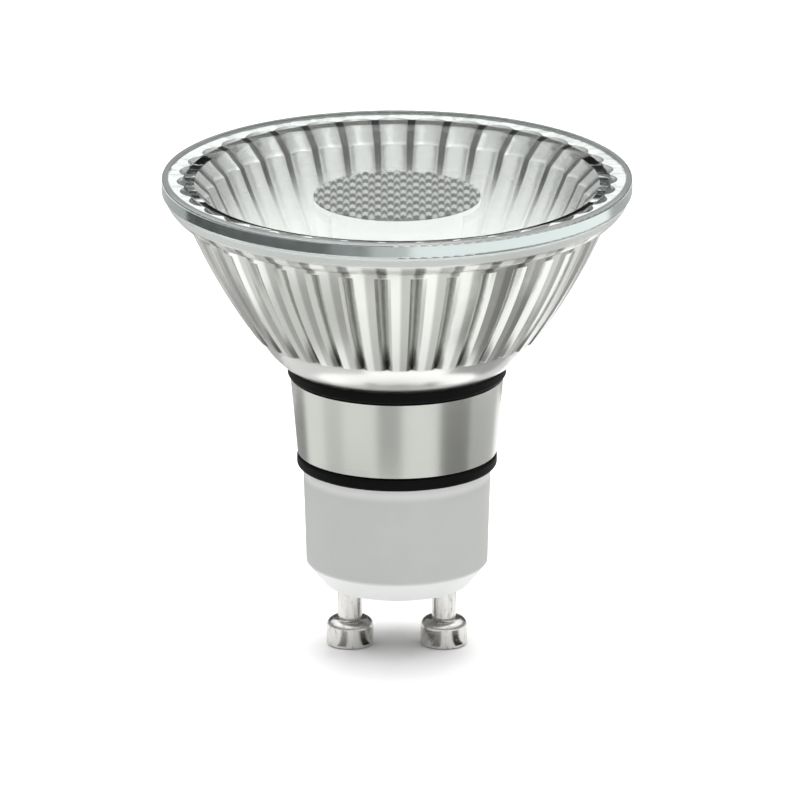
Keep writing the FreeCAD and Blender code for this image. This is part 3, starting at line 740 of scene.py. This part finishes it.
studio = {
    "floorSide": 6.0,
    "floorColour": (0.95, 0.95, 0.95),
    "sheetRoughness": 0.9,
    "sheetLift": 0.0003,
    "circleSteps": 48,
    "aimHeight": 0.025,
    # the world goes from the low strength to the high one between these two heights
    "worldHeights": (0.5, 0.75),
    "worldStrengths": (0.32, 1.75),
    # a dark flag behind, which only reflections see: distance, foot, width, height, tone
    "flag": (0.30, 0.03, 0.50, 0.16, 0.04),
    # a glowing band all round, for reflections and the glass: radius, foot, top, strength
    "glow": (0.50, 0.24, 0.62, 1.35),
    # toned sheets on the floor, which only reflections see; azimuth 0 is towards the camera and
    # grows to the right: name, middle, azimuth, spread, near, far, tone
    "sheets": [
        ("collarFront", 0.0, -8, 26, 0.050, 0.082, 0.48),
        ("collarRight", 0.0, 66, 40, 0.050, 0.082, 0.26),
        ("collarFarRight", 0.0, 113, 50, 0.050, 0.082, 0.55),
        ("collarMidLeft", 0.0, -72, 24, 0.050, 0.082, 0.72),
        ("collarLeft", 0.0, -140, 44, 0.050, 0.082, 0.28),
        ("fluteRight", 0.0, 85, 70, 0.026, 0.050, 0.27),
        ("fluteLeft", 0.0, -75, 90, 0.026, 0.050, 0.52),
        ("lensEdgeLeft", 0.0, -75, 90, 0.120, 0.250, 0.04),
        ("lensEdgeFade", 0.0, -21, 18, 0.120, 0.250, 0.20),
        ("lensEdgeSoft", 0.0, -3, 18, 0.120, 0.250, 0.50),
        ("behindCup", 0.0, 180, 118, 0.084, 0.250, 0.36),
        ("behindBase", 0.0, 180, 118, 0.018, 0.049, 0.50),
        ("leftPinDark", -0.005, 53, 28, 0.0027, 0.008, 0.03),
        ("leftPinMiddle", -0.005, -24, 26, 0.0027, 0.010, 0.30),
        ("rightPinDark", 0.005, 48, 30, 0.0027, 0.010, 0.03),
        ("rightPinMiddle", 0.005, -24, 26, 0.0027, 0.010, 0.30),
    ],
    # name, azimuth, elevation, distance, side, watts
    "softboxes": [
        ("topLight", 178, 74, 0.55, 0.34, 1.7),
        ("keyLight", 38, 64, 0.55, 0.30, 0.3),
    ],
}


def fromAxis(azimuth, elevation, distance):
    # azimuth 0 is where the camera stands, and it grows towards the right of the picture
    turn = math.radians(azimuth)
    lift = math.radians(elevation)
    flat = math.cos(lift) * distance
    return Vector((math.sin(turn) * flat, -math.cos(turn) * flat, math.sin(lift) * distance))


def aim(item, target):
    item.rotation_euler = (target - item.location).to_track_quat("-Z", "Y").to_euler()


def addToScene(name, content, location=(0.0, 0.0, 0.0)):
    item = bpy.data.objects.new(name, content)
    bpy.context.scene.collection.objects.link(item)
    item.location = location
    return item


def addSheet(name, shape, colour):
    mesh = bpy.data.meshes.new(name)
    shape.to_mesh(mesh)
    shape.free()
    finish = Finish(name + "Finish", {
        "Base Color": colour,
        "Roughness": studio["sheetRoughness"],
        "Specular IOR Level": 0.0,
    })
    mesh.materials.append(finish.material)
    sheet = addToScene(name, mesh)
    return sheet, finish


def flatSheet(name, width, height, colour):
    shape = bmesh.new()
    corners = ((-1, -1), (1, -1), (1, 1), (-1, 1))
    shape.faces.new([shape.verts.new((x * width / 2, y * height / 2, 0)) for x, y in corners])
    return addSheet(name, shape, colour)[0]


def shares():
    # even steps from 0 to 1, for strips that follow a circle
    steps = studio["circleSteps"]
    return [index / steps for index in range(steps + 1)]


def strip(edges):
    shape = bmesh.new()
    rows = [[shape.verts.new(corner) for corner in edge] for edge in edges]
    for first, second in zip(rows, rows[1:]):
        shape.faces.new((first[0], first[1], second[1], second[0]))
    return shape


def forReflections(sheet):
    sheet.visible_camera = False
    sheet.visible_diffuse = False
    sheet.visible_transmission = False
    sheet.visible_shadow = False


def hangFlag():
    distance, foot, width, height, tone = studio["flag"]
    flag = flatSheet("flagBack", width, height, (tone,) * 3)
    flag.location = (0, distance, foot + height / 2)
    flag.rotation_euler = (math.radians(90), 0, 0)
    forReflections(flag)


def hangGlow():
    radius, foot, top, strength = studio["glow"]
    edges = []
    for share in shares():
        corner = fromAxis(360 * share, 0, radius)
        edges.append([corner + Vector((0, 0, level)) for level in (foot, top)])
    band, finish = addSheet("glowBand", strip(edges), (0.0, 0.0, 0.0))
    finish.use("Emission Color", (1.0, 1.0, 1.0))
    finish.use("Emission Strength", strength)
    forReflections(band)
    band.visible_transmission = True   # the bowl sees it through the lens


def layRing(name, middle, azimuth, spread, near, far, tone):
    # part of a flat ring round a point of the X axis
    edges = []
    for share in shares():
        turn = azimuth + spread * (share - 0.5)
        edges.append([fromAxis(turn, 0, reach) for reach in (near, far)])
    sheet = addSheet(name, strip(edges), (tone,) * 3)[0]
    sheet.location = (middle, 0, studio["sheetLift"])
    forReflections(sheet)


def hangSoftbox(name, azimuth, elevation, distance, side, watts):
    light = bpy.data.lights.new(name, "AREA")
    light.shape = "SQUARE"
    light.size = side
    light.energy = watts
    lamp = addToScene(name, light, fromAxis(azimuth, elevation, distance))
    aim(lamp, Vector((0, 0, studio["aimHeight"])))


def lightWorld():
    world = bpy.data.worlds.new("studioWorld")
    world.use_nodes = True
    bpy.context.scene.world = world
    sky = Graph(world.node_tree)
    height = sky.parts(sky.node("ShaderNodeTexCoord", out="Generated"))[2]
    strength = sky.step(height, *studio["worldHeights"], *studio["worldStrengths"])
    background = sky.tree.nodes["Background"]
    sky.fill(background.inputs["Strength"], strength)
    sky.fill(background.inputs["Color"], (1.0, 1.0, 1.0))


flatSheet("studioFloor", studio["floorSide"], studio["floorSide"], studio["floorColour"])
hangFlag()
hangGlow()
for sheetRow in studio["sheets"]:
    layRing(*sheetRow)
for softboxRow in studio["softboxes"]:
    hangSoftbox(*softboxRow)
lightWorld()
bpy.context.scene.view_settings.view_transform = "Standard"
print("studio set")


# camera, at the photograph's angle

cameraLook = {
    "elevation": 17.2,
    "distance": 2.5,
    "target": Vector((0.00032, 0.0, 0.02717)),
    "frameWidth": 0.0851,
    "sensorWidth": 36.0,
    "clip": (0.1, 20.0),
}


def placeCamera():
    look = cameraLook
    camera = bpy.data.cameras.new("studioCamera")
    camera.sensor_width = look["sensorWidth"]
    camera.lens = look["sensorWidth"] * look["distance"] / look["frameWidth"]
    camera.clip_start, camera.clip_end = look["clip"]
    spot = look["target"] + fromAxis(0, look["elevation"], look["distance"])
    body = addToScene("studioCamera", camera, spot)
    aim(body, look["target"])
    bpy.context.scene.camera = body


placeCamera()
print("camera placed")
